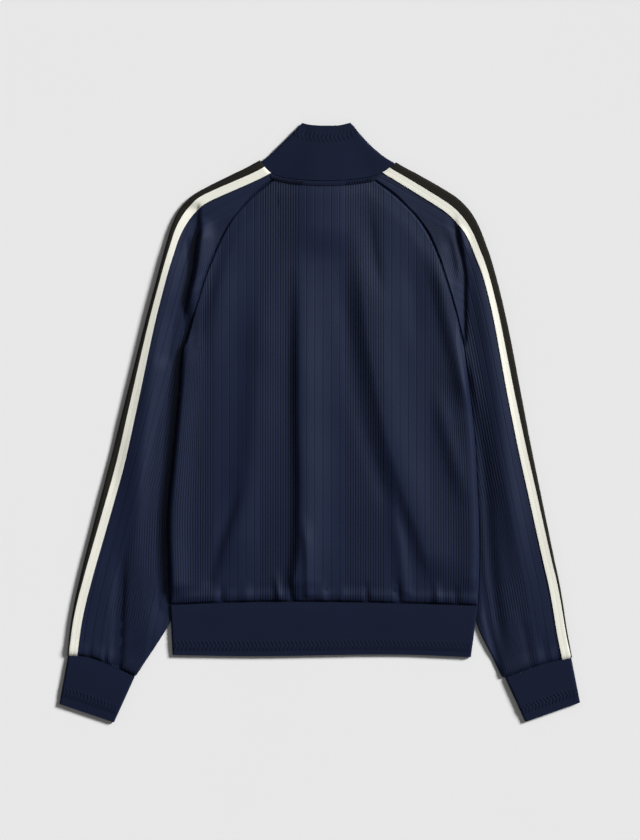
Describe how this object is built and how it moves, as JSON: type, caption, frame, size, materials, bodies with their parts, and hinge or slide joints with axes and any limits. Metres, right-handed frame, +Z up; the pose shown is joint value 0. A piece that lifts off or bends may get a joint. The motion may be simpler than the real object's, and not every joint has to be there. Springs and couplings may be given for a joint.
{
  "type": "track jacket",
  "caption": "Zip-front track jacket with raglan sleeves, ribbed funnel collar, cuffs and hem band, and two tapes down each sleeve, laid flat with its back up.",
  "frame": {"origin": "centre of the laid-out jacket's plan, on the surface it lies on", "axes": "+Y from hem to collar, +X to the right as seen from above with the back up, +Z up out of the back"},
  "size_m": [0.7035, 0.81, 0.0115],
  "materials": {
    "navy_knit": "soft sheen, shadow-stripe rib",
    "navy_rib": "matt, fine rib",
    "cream_tape": "matt",
    "black_tape": "matt twill",
    "zip_navy": "matt",
    "zip_metal": "satin"
  },
  "bodies": {
    "jacket": {"back_panel": "navy_knit", "front_left": "navy_knit", "front_right": "navy_knit", "sleeve_back_left": "navy_knit", "sleeve_back_right": "navy_knit", "sleeve_front_left": "navy_knit", "sleeve_front_right": "navy_knit", "tape_cream_left": "cream_tape", "tape_cream_right": "cream_tape", "tape_black_left": "black_tape", "tape_black_right": "black_tape", "cuff_left": "navy_rib", "cuff_right": "navy_rib", "collar": "navy_rib", "hem_band": "navy_rib", "neck_piping": "navy_rib", "zip_tape_left": "zip_navy", "zip_tape_right": "zip_navy", "zip_chain": "zip_navy", "zip_box": "zip_metal", "zip_slider": "zip_metal"},
    "pull_tab": {"pull_tab": "zip_metal"}
  },
  "joints": [
    {"name": "pull_tab_hinge", "type": "hinge", "parent": "jacket", "child": "pull_tab", "pos_m": [0.0095, 0.303, 0.0023], "axis": [1, 0, 0], "range_deg": [0, 165]}
  ]
}
